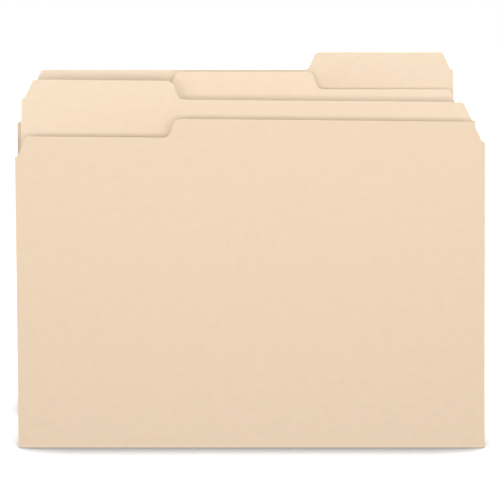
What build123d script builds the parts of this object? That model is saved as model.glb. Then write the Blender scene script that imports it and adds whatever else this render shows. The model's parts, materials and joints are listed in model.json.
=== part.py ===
from build123d import *
import math
import os

# Manila folder set: three third-cut letter folders that stand one behind another on their folds.
# Millimetres and degrees. X runs along the fold, Y from front to back, Z up from the surface.

# Sheet and fold
SHEET = 0.28                # thickness of 11 point manila stock
FOLD_GAP = 0.2              # gap between the inner faces of a shut folder
FOLD_RADIUS = FOLD_GAP / 2 + SHEET
HINGE_CLEAR = 0.04          # free play between a leaf's lower edge and the rounded fold

# Die-cut outline of a leaf
WIDTH = 298.45              # 11 3/4 inch
BACK_HEIGHT = 228.6         # fold to the shoulder of the back leaf, 9 inch
TAB_HEIGHT = 12.7           # 1/2 inch
FRONT_DROP = 19.05          # from that shoulder down to the top edge of the front leaf, 3/4 inch
FRONT_HEIGHT = BACK_HEIGHT - FRONT_DROP
UNDERCUT = 12.0             # how far the front leaf is cut down in front of the tab
UNDERCUT_INSET = 1.7        # how much sooner that stretch ends than the tab
SLOPE = 68.0                # slope of the tab's sides
STEP_RADIUS = 4.7           # rounding at the top and foot of a tab's side
CORNER_SLOPE = 66.0         # slope of the cut at a top corner
CORNER_CREST_RADIUS = 1.8   # rounding where that cut meets the top edge
CORNER_LEDGE = 1.87         # width of the ledge that a top corner leaves at the side edge
CORNER_FOOT_RADIUS = 2.6    # rounding where a top corner meets that ledge

# Where each tab's sides lie, from the middle of the leaf
LEFT_TAB_END = -47.6
MIDDLE_TAB_END = 49.1
RIGHT_TAB_START = 49.0

# How the set stands: lean of a leaf is its tilt back from upright
REST_CLEAR = 0.3            # between a back leaf and the front leaf that it leans on
FOLD_PLACES = {"front": 0.0, "middle": 72.6, "rear": 132.2}
SIDE_SHIFTS = {"front": 0.95, "middle": -4.2, "rear": -6.1}
BACK_LEANS = {"front": 22.6, "middle": 25.6, "rear": 20.3}
FRONT_LEAF_LEAN = 7.1
TABS = {
    "front": (-WIDTH / 2, LEFT_TAB_END),
    "middle": (-MIDDLE_TAB_END, MIDDLE_TAB_END),
    "rear": (RIGHT_TAB_START, WIDTH / 2),
}
FOLDERS = list(FOLD_PLACES)


def leaning_front_lean(back_lean, spacing):
    """Lean of a front leaf whose top edge just clears the back leaf ahead of it."""
    reach = spacing * math.cos(math.radians(back_lean))
    turn = 0.0
    for _ in range(20):
        offset = REST_CLEAR + FOLD_RADIUS * (1 + math.cos(turn))
        turn = math.asin((offset - reach) / FRONT_HEIGHT)
    return back_lean + math.degrees(turn)


def front_leans():
    """Lean of each front leaf; the middle and rear ones carry the folder ahead of them."""
    leans = {"front": FRONT_LEAF_LEAN}
    for ahead, name in zip(FOLDERS, FOLDERS[1:]):
        spacing = FOLD_PLACES[name] - FOLD_PLACES[ahead]
        leans[name] = leaning_front_lean(BACK_LEANS[ahead], spacing)
    return leans


FRONT_LEANS = front_leans()


def set_centre():
    """Middle of the set's box in X and Y, which becomes the origin."""
    left = min(SIDE_SHIFTS.values()) - WIDTH / 2
    right = max(SIDE_SHIFTS.values()) + WIDTH / 2
    rear = 0.0
    for name in FOLDERS:
        lean = math.radians(BACK_LEANS[name])
        top = (BACK_HEIGHT + TAB_HEIGHT) * math.sin(lean) + FOLD_RADIUS * math.cos(lean)
        rear = max(rear, FOLD_PLACES[name] + top)
    return (left + right) / 2, (rear - FOLD_RADIUS) / 2


CENTRE_X, CENTRE_Y = set_centre()


def fold_axis(name):
    """Middle of a folder's fold line, which both of its leaves turn about."""
    return SIDE_SHIFTS[name] - CENTRE_X, FOLD_PLACES[name] - CENTRE_Y, FOLD_RADIUS


def step_points(x, raised, shoulder):
    """Corners of a sloping side that is centred on x, with the raised stretch to its left."""
    half_run = abs(raised - shoulder) / 2 / math.tan(math.radians(SLOPE))
    return (x - half_run, raised), (x + half_run, shoulder)


def top_edge(shoulder, raised, span):
    """Corner points of a top edge from right to left, each with its rounding radius.

    The stretch named by span lies at the height raised, the rest at the height shoulder.
    Each top corner falls as far as the side of a tab, at a slope of its own."""
    half = WIDTH / 2
    foot = half - CORNER_LEDGE
    crest = foot - TAB_HEIGHT / math.tan(math.radians(CORNER_SLOPE))
    start, end = span
    right_top = raised if end >= half else shoulder
    left_top = raised if start <= -half else shoulder
    points = [
        ((half, right_top - TAB_HEIGHT), 0),
        ((foot, right_top - TAB_HEIGHT), CORNER_FOOT_RADIUS),
        ((crest, right_top), CORNER_CREST_RADIUS),
    ]
    if end < half:
        inner, outer = step_points(end, raised, shoulder)
        points += [(outer, STEP_RADIUS), (inner, STEP_RADIUS)]
    if start > -half:
        inner, outer = step_points(-start, raised, shoulder)
        points += [((-inner[0], raised), STEP_RADIUS), ((-outer[0], shoulder), STEP_RADIUS)]
    points += [
        ((-crest, left_top), CORNER_CREST_RADIUS),
        ((-foot, left_top - TAB_HEIGHT), CORNER_FOOT_RADIUS),
        ((-half, left_top - TAB_HEIGHT), 0),
    ]
    return points


def leaf_face(shoulder, raised, span):
    """Flat outline of a leaf with its fold along the X axis."""
    foot = FOLD_RADIUS + HINGE_CLEAR
    half = WIDTH / 2
    rounded = top_edge(shoulder, raised, span)
    corners = [point for point, radius in rounded]
    radii = [radius for point, radius in rounded]
    edge = FilletPolyline(*corners, radius=radii[1:-1])
    sides = Polyline(corners[-1], (-half, foot), (half, foot), corners[0])
    return make_face([edge, sides])


def leaf(name, face, lean, inner_offset):
    """A leaf of the sheet's thickness, turned to its lean about the fold."""
    upright = extrude(Plane.XZ.offset(inner_offset) * face, SHEET)
    return Pos(*fold_axis(name)) * Rot(X=-lean) * upright


def back_leaf(name):
    """Back leaf with its index tab."""
    face = leaf_face(BACK_HEIGHT, BACK_HEIGHT + TAB_HEIGHT, TABS[name])
    return leaf(name, face, BACK_LEANS[name], -FOLD_GAP / 2 - SHEET)


def undercut_span(name):
    """Stretch of a front leaf that is cut down, a little narrower than the tab behind it."""
    start, end = TABS[name]
    half = WIDTH / 2
    if start > -half:
        start += UNDERCUT_INSET
    if end < half:
        end -= UNDERCUT_INSET
    return start, end


def front_leaf(name):
    """Front leaf, cut down in front of the tab."""
    face = leaf_face(FRONT_HEIGHT, FRONT_HEIGHT - UNDERCUT, undercut_span(name))
    return leaf(name, face, FRONT_LEANS[name], FOLD_GAP / 2)


def fold(name):
    """Rounded fold that the folder stands on."""
    return Pos(*fold_axis(name)) * Rot(Y=90) * Cylinder(FOLD_RADIUS, WIDTH)


def main():
    os.makedirs("parts", exist_ok=True)
    for name in FOLDERS:
        pieces = {
            name + "_folder_front_leaf": front_leaf(name),
            name + "_folder_fold": fold(name),
            name + "_folder_back_leaf": back_leaf(name),
        }
        for node, solid in pieces.items():
            solid.label = node
            export_step(solid, "parts/" + node + ".step")
            box = solid.bounding_box()
            print(node, "volume", round(solid.volume, 1), "box", box.min, box.max)
        print(name, "fold axis", fold_axis(name), "front lean", round(FRONT_LEANS[name], 3))


main()
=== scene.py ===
import json
import math

import bmesh
import bpy
import numpy as np
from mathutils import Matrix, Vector, noise


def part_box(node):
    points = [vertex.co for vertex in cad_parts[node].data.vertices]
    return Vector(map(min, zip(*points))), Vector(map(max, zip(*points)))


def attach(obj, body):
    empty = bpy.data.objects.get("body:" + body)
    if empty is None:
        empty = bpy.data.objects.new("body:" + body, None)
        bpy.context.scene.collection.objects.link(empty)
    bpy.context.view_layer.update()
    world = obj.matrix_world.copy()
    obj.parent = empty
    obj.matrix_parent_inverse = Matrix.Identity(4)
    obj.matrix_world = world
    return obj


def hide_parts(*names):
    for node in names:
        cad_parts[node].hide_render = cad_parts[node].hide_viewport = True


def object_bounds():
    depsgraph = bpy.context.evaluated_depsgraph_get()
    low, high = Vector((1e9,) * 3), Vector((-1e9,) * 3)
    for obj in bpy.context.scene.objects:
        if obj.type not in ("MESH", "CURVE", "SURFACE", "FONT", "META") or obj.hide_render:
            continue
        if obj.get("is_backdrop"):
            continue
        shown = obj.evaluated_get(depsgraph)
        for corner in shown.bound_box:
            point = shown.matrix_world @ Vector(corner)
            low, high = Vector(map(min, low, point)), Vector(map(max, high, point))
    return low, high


# Manila folder set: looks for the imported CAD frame.
# Metres and degrees, in the row frame: X right, Y back, Z up.

MM = 0.001

# Camera, from a perspective fit of the leaf edges in the photograph; lens and sensor in millimetres
CAMERA_PLACE = (2.485 * MM, -1648.07 * MM, 455.85 * MM)
CAMERA_PITCH = 11.968
CAMERA_LENS = 180.0
CAMERA_SENSOR = 36.0
CAMERA_REACH = 50.0

# Which joint gives each folder's fold line
FOLD_JOINTS = {
    "front": "front_folder_close",
    "middle": "middle_folder_open",
    "rear": "rear_folder_open",
}

# Gentle shape of real stock: how far a leaf bows in mid height, to the back if positive
BOWS = {"front": 1.1 * MM, "middle": 0.7 * MM, "rear": -0.9 * MM}
# Share of that bow that is lost at a leaf's sides
BOW_LOSS = 0.3
# How far an upper edge drops at the right and rises at the left, where a sheet is folded off square
SKEWS = {"front_folder_front_leaf": 1.5 * MM, "front_folder_back_leaf": 1.3 * MM}
# How far a sheet's upper edge drifts to the left of its fold, to the right if negative
DRIFTS = {
    "front_folder_front_leaf": 1.2 * MM,
    "front_folder_back_leaf": 2.5 * MM,
    "rear_folder_back_leaf": -0.5 * MM,
}

# Reading the CAD leaf: points of its top edge lie above its foot, and on its near face
FOOT_ZONE = 1.0 * MM
FACE_TOLERANCE = 0.02 * MM

# Mesh of a leaf
COLUMN_STEP = 4.0 * MM
EDGE_STEPS = (0.25 * MM, 0.6 * MM, 1.2 * MM, 2.4 * MM)
INNER_ROWS = 40
FOLD_SINK = 0.2 * MM
RIM_CROWN = 0.03 * MM
SHARP_ANGLE = 40.0
# Width of the paler band along the cut edges: wear, and a painted highlight of the edge catching light
WEAR_AND_HIGHLIGHT_WIDTH = 0.9 * MM
CREASE_WIDTH = 1.6 * MM

# Mesh of a fold
FOLD_SIDES = 20
FOLD_STEPS = 160
FOLD_FUZZ = 0.012 * MM
FUZZ_CELL = 2.2 * MM
# How much of the paler edge band, wear and painted highlight, the fold takes
FOLD_WEAR_AND_HIGHLIGHT = 0.3

# Manila stock: its colours, and how much of the fibre colours shows where; the paler cut edges are partly wear and
# partly a painted highlight
MANILA = {
    "front": (0.762, 0.599, 0.435),
    "middle": (0.762, 0.601, 0.441),
    "rear": (0.766, 0.605, 0.444),
}
INNER_FACE = (0.985, 1.020, 1.055)
CLOUDING = 1.016
FIBRE_DARK = (0.560, 0.400, 0.250)
PALE_FIBRE_AND_HIGHLIGHT = (0.880, 0.740, 0.580)
DARK_FIBRE_SHARE = 0.22
LIGHT_FIBRE_SHARE = 0.25
# Share of the pale colour on the cut edges: wear, and a painted highlight
WEAR_AND_HIGHLIGHT_SHARE = 0.22
CREASE_SHARE = 0.25

# Noise in the stock: cells per metre across and up the sheet, with its detail and roughness
CLOUDS = {"cells": (150, 190, 1), "detail": 4.0, "roughness": 0.6}
LONG_FIBRES = {"cells": (260, 2600, 1), "detail": 2.0, "roughness": 0.5}
CROSS_FIBRES = {"cells": (2100, 330, 1), "detail": 2.0, "roughness": 0.5}
TOOTH = {"cells": (2400, 2400, 1), "detail": 3.0, "roughness": 0.65}
# Each folder's stock is cut from another place of that noise
STOCK_SHIFT = (0.37, 0.53)

# Part of each value's range that is spread from nothing to all
CLOUD_BAND = (0.3, 0.7)
FIBRE_BAND = (0.66, 0.78)
WEAR_AND_HIGHLIGHT_BAND = (0.2, 1.0)
CREASE_BAND = (0.1, 1.0)
TOOTH_BAND = (0.2, 0.8)

# Surface of the stock
BASE_ROUGHNESS = 0.74
TOOTH_ROUGHNESS = 0.12
STOCK_SPECULAR = 0.28
BUMP_STRENGTH = 0.22
BUMP_DEPTH = 0.05 * MM

# Floor
FLOOR_HALF = 9.0
FLOOR_WHITE = (0.93, 0.93, 0.93)
FLOOR_GLOW = 0.68
FLOOR_ROUGHNESS = 0.9
FLOOR_SPECULAR = 0.1
CONTACT_SHADE = (0.050, 0.052, 0.056)
CONTACT_REACH = 58.0 * MM
CONTACT_BAND = (0.5, 0.88)
CONTACT_SAMPLES = 12

# Surround: its level up to one elevation, and its level from another one upward
HORIZON_LEVEL = 0.50
HORIZON_TOP = 5.5
OVERHEAD_LEVEL = 0.38
OVERHEAD_START = 16.0

# Soft boxes: one near the set, a low strip in front, one above and one behind
SOFT_BOXES = {
    "top_box": {
        "place": (0.0, -0.36, 0.33),
        "target": (0.0, -0.09, 0.18),
        "size": (1.3, 0.12),
        "power": 0.556,
    },
    "strip_box": {
        "place": (0.0, -2.1, 0.472),
        "target": (0.0, 0.0, 0.2),
        "size": (0.5, 0.12),
        "power": 20.5,
    },
    "crown_box": {
        "place": (0.0, -0.05, 0.62),
        "target": (0.0, 0.08, 0.2),
        "size": (1.2, 0.15),
        "power": 1.78,
    },
    "back_box": {
        "place": (0.0, 1.8, 0.35),
        "target": (0.0, 0.1, 0.1),
        "size": (2.2, 0.7),
        "power": 28.0,
    },
}

# Sockets of the colour mix node
MIX_FIRST = 6
MIX_SECOND = 7
MIX_RESULT = 2


def node_points(node):
    """Corner points of a CAD node in the row frame."""
    return np.array([v.co for v in frame["nodes"][node].data.vertices], float)


def fold_point(folder):
    """A point on the folder's fold line, from the joint that turns about it."""
    for joint in frame["joints"]:
        if joint["name"] == FOLD_JOINTS[folder]:
            return np.array(joint["pos_m"], float)
    raise KeyError(folder)


def body_of(node):
    """Name of the body that a CAD node belongs to."""
    for body, members in frame["record"]["behaviour"]["bodies"].items():
        if node in members:
            return body
    raise KeyError(node)


class Leaf:
    """Measures of a CAD leaf: its fold, its upward direction, its faces and its top edge."""

    def __init__(self, folder, side):
        self.folder = folder
        self.node = folder + "_folder_" + side + "_leaf"
        self.origin = fold_point(folder)
        offsets = node_points(self.node) - self.origin
        spread = offsets[:, 1:] - offsets[:, 1:].mean(axis=0)
        up = np.linalg.svd(spread, full_matrices=False)[2][0]
        up = up * math.copysign(1.0, up[1])
        self.up = np.array((0.0, up[0], up[1]))
        self.back = np.array((0.0, up[1], -up[0]))
        self.height = offsets @ self.up
        self.depth = offsets @ self.back
        self.near, self.far = self.depth.min(), self.depth.max()
        self.inner = self.near if side == "back" else self.far
        self.across = offsets[:, 0]
        self.left, self.right = self.across.min(), self.across.max()
        self.half = (self.right - self.left) / 2

    def top_edge(self):
        """Points of the upper edge from left to right."""
        above_foot = self.height > self.height.min() + FOOT_ZONE
        on_near_face = np.abs(self.depth - self.near) < FACE_TOLERANCE
        keep = above_foot & on_near_face
        order = np.argsort(self.across[keep], kind="stable")
        return self.across[keep][order], self.height[keep][order]

    def columns(self):
        """Where the mesh columns stand and how high each one reaches."""
        x_edge, h_edge = self.top_edge()
        x_edge, first = np.unique(np.round(x_edge, 6), return_index=True)
        h_edge = h_edge[first]
        fixed = list(x_edge)
        for step in EDGE_STEPS:
            fixed += [self.left + step, self.right - step]
        fixed = np.unique(np.round(fixed, 5))
        places = [fixed[0]]
        for x in fixed[1:]:
            start = places[-1]
            parts = max(1, math.ceil((x - start) / COLUMN_STEP))
            places += [start + (x - start) * k / parts for k in range(1, parts + 1)]
        places = np.array(places)
        return places, np.interp(places, x_edge, h_edge)

    def place(self, x, s, depth):
        """Row-frame point of the gently bowed sheet at x, height s and depth through the sheet."""
        across = x / self.half
        rise = min(max(s / self.height.max(), 0.0), 1.0)
        side = x - DRIFTS.get(self.node, 0.0) * rise
        up = s - SKEWS.get(self.node, 0.0) * across * rise
        bow = BOWS[self.folder] * math.sin(math.pi * rise) * (1.0 - BOW_LOSS * across ** 2)
        return self.origin + np.array((side, 0.0, 0.0)) + self.up * up + self.back * (depth + bow)


def leaf_rows(foot, top):
    """Heights of the mesh rows in a column, close together at the fold and at the cut edge."""
    low = [foot + step for step in EDGE_STEPS]
    high = [top - step for step in reversed(EDGE_STEPS)]
    inner = np.linspace(low[-1], high[0], INNER_ROWS + 2)[1:-1]
    return [foot, *low, *inner, *high, top]


def leaf_piece(leaf):
    """Sheet of the leaf's outline and thickness, with crowned cut edges."""
    places, tops = leaf.columns()
    mesh = bmesh.new()
    uv = mesh.loops.layers.uv.new("sheet")
    wear_and_highlight = mesh.verts.layers.float.new("wear_and_highlight")
    crease = mesh.verts.layers.float.new("crease")
    inner = mesh.verts.layers.float.new("inner")
    flat = {}

    def vertex(x, s, depth, edge_gap):
        v = mesh.verts.new(leaf.place(x, s, depth))
        # paler band along the cut edges: wear, and a painted highlight
        v[wear_and_highlight] = max(0.0, 1.0 - edge_gap / WEAR_AND_HIGHLIGHT_WIDTH)
        v[crease] = max(0.0, 1.0 - s / CREASE_WIDTH)
        v[inner] = 1.0 if depth == leaf.inner else 0.0
        flat[v] = (x, s)
        return v

    faces = []
    for depth in (leaf.near, leaf.far):
        grid = []
        for x, top in zip(places, tops):
            side_gap = leaf.half - abs(x - (leaf.left + leaf.right) / 2)
            column = []
            for s in leaf_rows(FOLD_SINK, top):
                column.append(vertex(x, s, depth, min(side_gap, top - s)))
            grid.append(column)
        faces.append(grid)
    for grid, flip in zip(faces, (False, True)):
        add_grid_faces(mesh, grid, flip)
    add_rim(mesh, leaf, faces, flat, vertex)
    for face in mesh.faces:
        face.smooth = True
    lay_out(mesh, uv, flat)
    mesh.normal_update()
    bmesh.ops.recalc_face_normals(mesh, faces=mesh.faces)
    mark_sharp_rim(mesh)
    return finish_piece(mesh, leaf.node + "_sheet", leaf.node)


def add_grid_faces(mesh, grid, flip):
    """Four-sided faces between the columns of one face of a sheet."""
    for a, b in zip(grid, grid[1:]):
        for k in range(len(a) - 1):
            ring = [a[k], b[k], b[k + 1], a[k + 1]]
            mesh.faces.new(ring[::-1] if flip else ring)


def add_rim(mesh, leaf, faces, flat, vertex):
    """Cut edge between the two faces, with a slight crown, and the closing strip in the fold."""
    near, far = faces
    loop_near = near[0][:] + [c[-1] for c in near[1:-1]] + near[-1][::-1]
    loop_far = far[0][:] + [c[-1] for c in far[1:-1]] + far[-1][::-1]
    middle = (leaf.near + leaf.far) / 2
    outward = {id(v): (-1.0, 0.0) for v in near[0]}
    outward.update({id(v): (1.0, 0.0) for v in near[-1]})
    crowns = []
    for v in loop_near:
        x, s = flat[v]
        dx, ds = outward.get(id(v), (0.0, 1.0))
        crowns.append(vertex(x + dx * RIM_CROWN, s + ds * RIM_CROWN, middle, 0.0))
    rows = [loop_near, crowns, loop_far]
    for row, next_row in zip(rows, rows[1:]):
        for k in range(len(row) - 1):
            mesh.faces.new((row[k], row[k + 1], next_row[k + 1], next_row[k]))
    foot_near = [c[0] for c in near]
    foot_far = [c[0] for c in far]
    for k in range(len(foot_near) - 1):
        mesh.faces.new((foot_far[k], foot_far[k + 1], foot_near[k + 1], foot_near[k]))
    mesh.faces.new((near[0][0], crowns[0], far[0][0]))
    mesh.faces.new((far[-1][0], crowns[-1], near[-1][0]))


def mark_sharp_rim(mesh):
    """Keeps the edge between a face and the cut edge crisp."""
    for edge in mesh.edges:
        if edge.calc_face_angle(0.0) > math.radians(SHARP_ANGLE):
            edge.smooth = False


def lay_out(mesh, uv, flat):
    """Notes where each corner lies on the flat sheet, in metres."""
    for face in mesh.faces:
        for loop in face.loops:
            loop[uv].uv = flat[loop.vert]


def finish_piece(mesh, name, node):
    """Turns a bmesh into an object that stands for a CAD node and moves with its body."""
    data = bpy.data.meshes.new(name)
    mesh.to_mesh(data)
    mesh.free()
    piece = bpy.data.objects.new(name, data)
    bpy.context.scene.collection.objects.link(piece)
    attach(piece, body_of(node))
    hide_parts(node)
    return piece


def fold_piece(folder):
    """Rounded fold with the faint fuzz of strained fibres."""
    node = folder + "_folder_fold"
    low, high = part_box(node)
    centre = (low + high) / 2
    radius = (high.z - low.z) / 2
    mesh = bmesh.new()
    uv = mesh.loops.layers.uv.new("sheet")
    wear_and_highlight = mesh.verts.layers.float.new("wear_and_highlight")
    crease = mesh.verts.layers.float.new("crease")
    rings = []
    flat = {}
    for i in range(FOLD_STEPS + 1):
        x = low.x + (high.x - low.x) * i / FOLD_STEPS
        ring = []
        for k in range(FOLD_SIDES):
            turn = 2 * math.pi * k / FOLD_SIDES
            out_y, out_z = math.cos(turn), math.sin(turn)
            seed = Vector((x / FUZZ_CELL, out_y, out_z))
            reach = radius - FOLD_FUZZ * (0.5 + 0.5 * noise.noise(seed))
            v = mesh.verts.new((x, centre.y + reach * out_y, centre.z + reach * out_z))
            # the fold gets part of the paler edge band: wear, and a painted highlight
            v[wear_and_highlight] = FOLD_WEAR_AND_HIGHLIGHT
            v[crease] = 1.0
            flat[v] = (x - centre.x, turn * radius)
            ring.append(v)
        rings.append(ring)
    for a, b in zip(rings, rings[1:]):
        for k in range(FOLD_SIDES):
            j = (k + 1) % FOLD_SIDES
            mesh.faces.new((a[k], b[k], b[j], a[j]))
    mesh.faces.new(rings[0])
    mesh.faces.new(rings[-1][::-1])
    for face in mesh.faces:
        face.smooth = len(face.verts) == 4
    lay_out(mesh, uv, flat)
    bmesh.ops.recalc_face_normals(mesh, faces=mesh.faces)
    return finish_piece(mesh, node + "_crease", node)


def noise_value(nodes, links, coords, cells, detail, roughness):
    """Noise over the sheet with so many cells per metre."""
    mapping = nodes.new("ShaderNodeMapping")
    mapping.inputs["Scale"].default_value = cells
    links.new(coords, mapping.inputs["Vector"])
    texture = nodes.new("ShaderNodeTexNoise")
    texture.inputs["Scale"].default_value = 1.0
    texture.inputs["Detail"].default_value = detail
    texture.inputs["Roughness"].default_value = roughness
    links.new(mapping.outputs["Vector"], texture.inputs["Vector"])
    return texture.outputs["Fac"]


def ramp(nodes, links, value, band, top):
    """Spreads a band of a value over 0 to top, held at both ends."""
    spread = nodes.new("ShaderNodeMapRange")
    spread.inputs["From Min"].default_value = band[0]
    spread.inputs["From Max"].default_value = band[1]
    spread.inputs["To Max"].default_value = top
    links.new(value, spread.inputs["Value"])
    return spread.outputs["Result"]


def mixed(nodes, links, factor, first, second, blend="MIX"):
    """Colour mix; first and second are colours or sockets."""
    mix = nodes.new("ShaderNodeMix")
    mix.data_type = "RGBA"
    mix.blend_type = blend
    links.new(factor, mix.inputs["Factor"])
    for socket, colour in ((mix.inputs[MIX_FIRST], first), (mix.inputs[MIX_SECOND], second)):
        if isinstance(colour, tuple):
            socket.default_value = (*colour, 1.0)
        else:
            links.new(colour, socket)
    return mix.outputs[MIX_RESULT]


def added(nodes, links, first, second):
    """Sum of a socket and a second socket or number."""
    total = nodes.new("ShaderNodeMath")
    total.operation = "ADD"
    links.new(first, total.inputs[0])
    if isinstance(second, float):
        total.inputs[1].default_value = second
    else:
        links.new(second, total.inputs[1])
    return total.outputs["Value"]


def attribute(nodes, name):
    """A number kept on the mesh."""
    node = nodes.new("ShaderNodeAttribute")
    node.attribute_name = name
    return node.outputs["Fac"]


def sheet_coordinates(nodes, links, seed):
    """Place on the flat sheet, shifted for each folder."""
    sheet = nodes.new("ShaderNodeUVMap")
    sheet.uv_map = "sheet"
    shift = nodes.new("ShaderNodeVectorMath")
    shift.operation = "ADD"
    shift.inputs[1].default_value = (STOCK_SHIFT[0] * seed, STOCK_SHIFT[1] * seed, 0.0)
    links.new(sheet.outputs["UV"], shift.inputs[0])
    return shift.outputs["Vector"]


def manila_material(folder, seed):
    """Uncoated manila stock: cloudy formation, fine fibres, paler at the fold, and paler at the cut edges from
    wear and a painted highlight.
    """
    material = bpy.data.materials.new(folder + "_manila_stock")
    thick = tuple(c / CLOUDING for c in MANILA[folder])
    thin = tuple(c * CLOUDING for c in MANILA[folder])
    material.use_nodes = True
    nodes, links = material.node_tree.nodes, material.node_tree.links
    shader = nodes["Principled BSDF"]
    coords = sheet_coordinates(nodes, links, seed)

    clouds = noise_value(nodes, links, coords, **CLOUDS)
    colour = mixed(nodes, links, ramp(nodes, links, clouds, CLOUD_BAND, 1.0), thick, thin)
    colour = mixed(nodes, links, attribute(nodes, "inner"), colour, INNER_FACE, "MULTIPLY")
    long_fibres = noise_value(nodes, links, coords, **LONG_FIBRES)
    cross_fibres = noise_value(nodes, links, coords, **CROSS_FIBRES)
    layers = [
        (long_fibres, FIBRE_BAND, DARK_FIBRE_SHARE, FIBRE_DARK),
        (cross_fibres, FIBRE_BAND, LIGHT_FIBRE_SHARE, PALE_FIBRE_AND_HIGHLIGHT),
        # cut edges: wear, and a painted highlight
        (attribute(nodes, "wear_and_highlight"), WEAR_AND_HIGHLIGHT_BAND, WEAR_AND_HIGHLIGHT_SHARE, PALE_FIBRE_AND_HIGHLIGHT),
        (attribute(nodes, "crease"), CREASE_BAND, CREASE_SHARE, PALE_FIBRE_AND_HIGHLIGHT),
    ]
    for value, band, share, fibre in layers:
        colour = mixed(nodes, links, ramp(nodes, links, value, band, share), colour, fibre)
    links.new(colour, shader.inputs["Base Color"])

    tooth = noise_value(nodes, links, coords, **TOOTH)
    rougher = ramp(nodes, links, tooth, TOOTH_BAND, TOOTH_ROUGHNESS)
    links.new(added(nodes, links, rougher, BASE_ROUGHNESS), shader.inputs["Roughness"])
    bump = nodes.new("ShaderNodeBump")
    bump.inputs["Strength"].default_value = BUMP_STRENGTH
    bump.inputs["Distance"].default_value = BUMP_DEPTH
    links.new(added(nodes, links, tooth, long_fibres), bump.inputs["Height"])
    links.new(bump.outputs["Normal"], shader.inputs["Normal"])
    shader.inputs["Specular IOR Level"].default_value = STOCK_SPECULAR
    return material


def floor_material():
    """White sweep with a soft contact shade close to what stands on it."""
    material = bpy.data.materials.new("floor_white")
    material.use_nodes = True
    nodes, links = material.node_tree.nodes, material.node_tree.links
    shader = nodes["Principled BSDF"]
    contact = nodes.new("ShaderNodeAmbientOcclusion")
    contact.samples = CONTACT_SAMPLES
    contact.inputs["Distance"].default_value = CONTACT_REACH
    shade = ramp(nodes, links, contact.outputs["AO"], CONTACT_BAND, 1.0)
    white = mixed(nodes, links, shade, CONTACT_SHADE, FLOOR_WHITE)
    links.new(white, shader.inputs["Base Color"])
    links.new(white, shader.inputs["Emission Color"])
    shader.inputs["Emission Strength"].default_value = FLOOR_GLOW
    shader.inputs["Roughness"].default_value = FLOOR_ROUGHNESS
    shader.inputs["Specular IOR Level"].default_value = FLOOR_SPECULAR
    return material


def add_floor():
    """Plain pale floor that sends no bounced light to the sheets."""
    data = bpy.data.meshes.new("floor")
    corners = [(-1, -1), (1, -1), (1, 1), (-1, 1)]
    points = [(x * FLOOR_HALF, y * FLOOR_HALF, 0.0) for x, y in corners]
    data.from_pydata(points, [], [(0, 1, 2, 3)])
    floor = bpy.data.objects.new("floor", data)
    bpy.context.scene.collection.objects.link(floor)
    data.materials.append(floor_material())
    floor.visible_diffuse = False
    floor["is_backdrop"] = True


def area_light(name, place, target, size, power):
    """Soft box at a place, aimed at a target."""
    data = bpy.data.lights.new(name, "AREA")
    data.shape = "RECTANGLE"
    data.size, data.size_y = size
    data.energy = power
    light = bpy.data.objects.new(name, data)
    light.location = place
    light.visible_camera = False
    light.rotation_euler = (Vector(target) - Vector(place)).to_track_quat("-Z", "Y").to_euler()
    bpy.context.scene.collection.objects.link(light)


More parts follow.
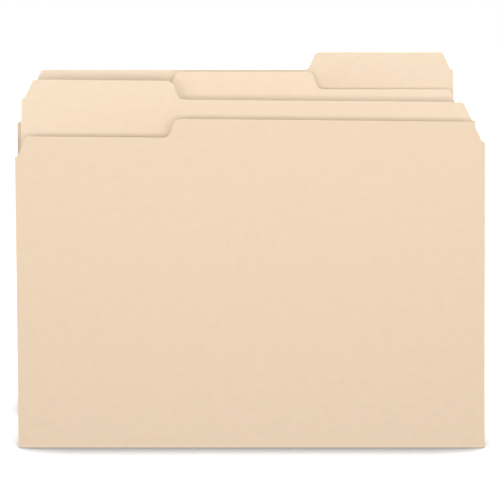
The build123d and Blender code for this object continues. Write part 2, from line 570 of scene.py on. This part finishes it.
def add_surround():
    """Surround that lights less from overhead than from the horizon; the camera sees it white."""
    world = bpy.data.worlds.new("studio")
    bpy.context.scene.world = world
    world.use_nodes = True
    nodes, links = world.node_tree.nodes, world.node_tree.links
    surround = nodes["Background"]
    surround.inputs["Color"].default_value = (1.0, 1.0, 1.0, 1.0)
    direction = nodes.new("ShaderNodeTexCoord")
    split = nodes.new("ShaderNodeSeparateXYZ")
    links.new(direction.outputs["Generated"], split.inputs["Vector"])
    level = nodes.new("ShaderNodeMapRange")
    level.inputs["From Min"].default_value = math.sin(math.radians(HORIZON_TOP))
    level.inputs["From Max"].default_value = math.sin(math.radians(OVERHEAD_START))
    level.inputs["To Min"].default_value = HORIZON_LEVEL
    level.inputs["To Max"].default_value = OVERHEAD_LEVEL
    links.new(split.outputs["Z"], level.inputs["Value"])
    ray = nodes.new("ShaderNodeLightPath")
    strength = nodes.new("ShaderNodeMath")
    strength.operation = "MAXIMUM"
    links.new(level.outputs["Result"], strength.inputs[0])
    links.new(ray.outputs["Is Camera Ray"], strength.inputs[1])
    links.new(strength.outputs["Value"], surround.inputs["Strength"])


def add_lights():
    """Soft studio: the surround and the soft boxes."""
    add_surround()
    for name, box in SOFT_BOXES.items():
        area_light(name, **box)


def add_camera():
    """Camera at the photograph's viewing angle."""
    data = bpy.data.cameras.new("camera")
    data.lens = CAMERA_LENS
    data.sensor_width = CAMERA_SENSOR
    data.clip_end = CAMERA_REACH
    camera = bpy.data.objects.new("camera", data)
    camera.location = CAMERA_PLACE
    camera.rotation_euler = (math.radians(90.0 - CAMERA_PITCH), 0.0, 0.0)
    bpy.context.scene.collection.objects.link(camera)
    bpy.context.scene.camera = camera


def add_folders():
    """Sheets and folds of the three folders, each folder with its own cut of the stock."""
    for seed, folder in enumerate(FOLD_JOINTS, start=1):
        stock = manila_material(folder, seed)
        pieces = [leaf_piece(Leaf(folder, side)) for side in ("front", "back")]
        pieces.append(fold_piece(folder))
        for piece in pieces:
            piece.data.materials.append(stock)


def write_sizes(cad_box):
    """Gathers the CAD box and the visual model's box as plain lists."""
    boxes = {"cad": cad_box, "visual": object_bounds()}
    plain = {name: [list(map(float, corner)) for corner in box] for name, box in boxes.items()}


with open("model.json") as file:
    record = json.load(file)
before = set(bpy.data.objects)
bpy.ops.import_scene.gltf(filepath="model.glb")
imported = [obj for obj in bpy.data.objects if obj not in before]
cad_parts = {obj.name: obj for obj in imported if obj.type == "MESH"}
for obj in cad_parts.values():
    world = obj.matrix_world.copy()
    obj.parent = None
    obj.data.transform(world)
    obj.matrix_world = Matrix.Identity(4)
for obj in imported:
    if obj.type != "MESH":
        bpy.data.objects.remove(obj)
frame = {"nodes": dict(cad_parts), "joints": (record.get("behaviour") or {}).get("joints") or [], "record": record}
cad_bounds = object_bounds()
bpy.context.scene.view_settings.view_transform = "Standard"
add_camera()
add_floor()
add_lights()
add_folders()
write_sizes(cad_bounds)
